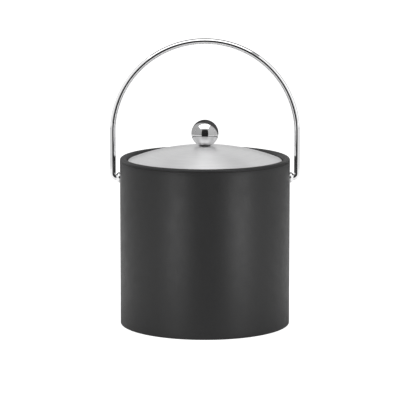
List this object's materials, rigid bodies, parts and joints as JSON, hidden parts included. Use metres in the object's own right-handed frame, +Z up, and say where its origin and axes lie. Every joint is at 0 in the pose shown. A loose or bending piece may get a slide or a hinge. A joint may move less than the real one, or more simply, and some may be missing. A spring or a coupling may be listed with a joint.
{
  "type": "ice bucket",
  "caption": "Straight-sided insulated ice bucket with a vinyl-covered wall, a domed metal lid with a ball knob, and a tall bent-rod bail that swings on side ears.",
  "frame": {"origin": "centre of the resting face under the felt pad, on the bucket's own axis", "axes": "+Z up along the bucket's axis, +X along the bail's hinge towards the right ear, +Y to the back, where the cover's seam is"},
  "size_m": [0.212, 0.19, 0.3215],
  "materials": {
    "charcoal_vinyl": "satin, very fine grain",
    "rigid_board": "matte",
    "white_plastic": "satin",
    "white_foam": "matte",
    "dark_felt": "matte",
    "satin_metal": "satin, spun",
    "chrome": "polished",
    "zinc_steel": "satin",
    "black_rubber": "matte"
  },
  "bodies": {
    "bucket": {"shell_tube": "rigid_board", "vinyl_cover": "charcoal_vinyl", "rim_ring": "charcoal_vinyl", "inner_liner": "white_plastic", "foam_sleeve": "white_foam", "foam_pad": "white_foam", "base_disc": "rigid_board", "base_felt": "dark_felt", "ear_left": "chrome", "ear_right": "chrome", "ear_washer_left": "zinc_steel", "ear_washer_right": "zinc_steel", "ear_nut_left": "zinc_steel", "ear_nut_right": "zinc_steel"},
    "bail": {"bail_handle": "chrome"},
    "lid": {"lid_dome": "satin_metal", "knob_ball": "chrome", "knob_collar": "black_rubber", "knob_washer": "zinc_steel", "knob_screw": "zinc_steel"}
  },
  "joints": [
    {"name": "bail_hinge", "type": "hinge", "parent": "bucket", "child": "bail", "pos_m": [0, 0, 0.1655], "axis": [1, 0, 0], "range_deg": [-139.5, 139.5]},
    {"name": "lid_lift", "type": "slide", "parent": "bucket", "child": "lid", "axis": [0, 0, 1], "range_m": [0, 0.07]}
  ]
}
